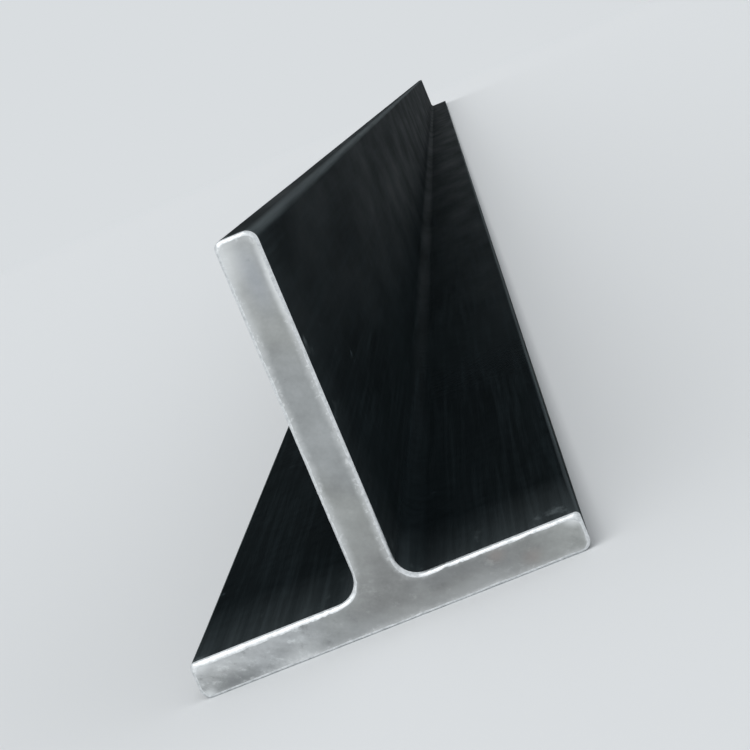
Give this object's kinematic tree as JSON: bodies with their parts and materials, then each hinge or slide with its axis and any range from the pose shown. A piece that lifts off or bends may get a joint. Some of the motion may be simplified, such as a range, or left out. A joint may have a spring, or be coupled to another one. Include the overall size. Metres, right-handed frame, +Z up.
{
  "type": "steel tee beam",
  "caption": "Equal hot-rolled steel tee bar, a stem standing on a flange, cut square at both ends; structural stock for framing, lintels and edge support.",
  "frame": {"origin": "middle of the bar's length, on the back of the flange, under the stem", "axes": "+Y along the bar, +X across the flange, +Z up the stem"},
  "size_m": [0.1, 6, 0.1],
  "materials": {
    "hot_rolled_steel": "dark smooth mill scale along the bar, bright satin saw cut at the ends"
  },
  "bodies": {
    "root": {"tee_beam": "hot_rolled_steel"}
  },
  "joints": []
}
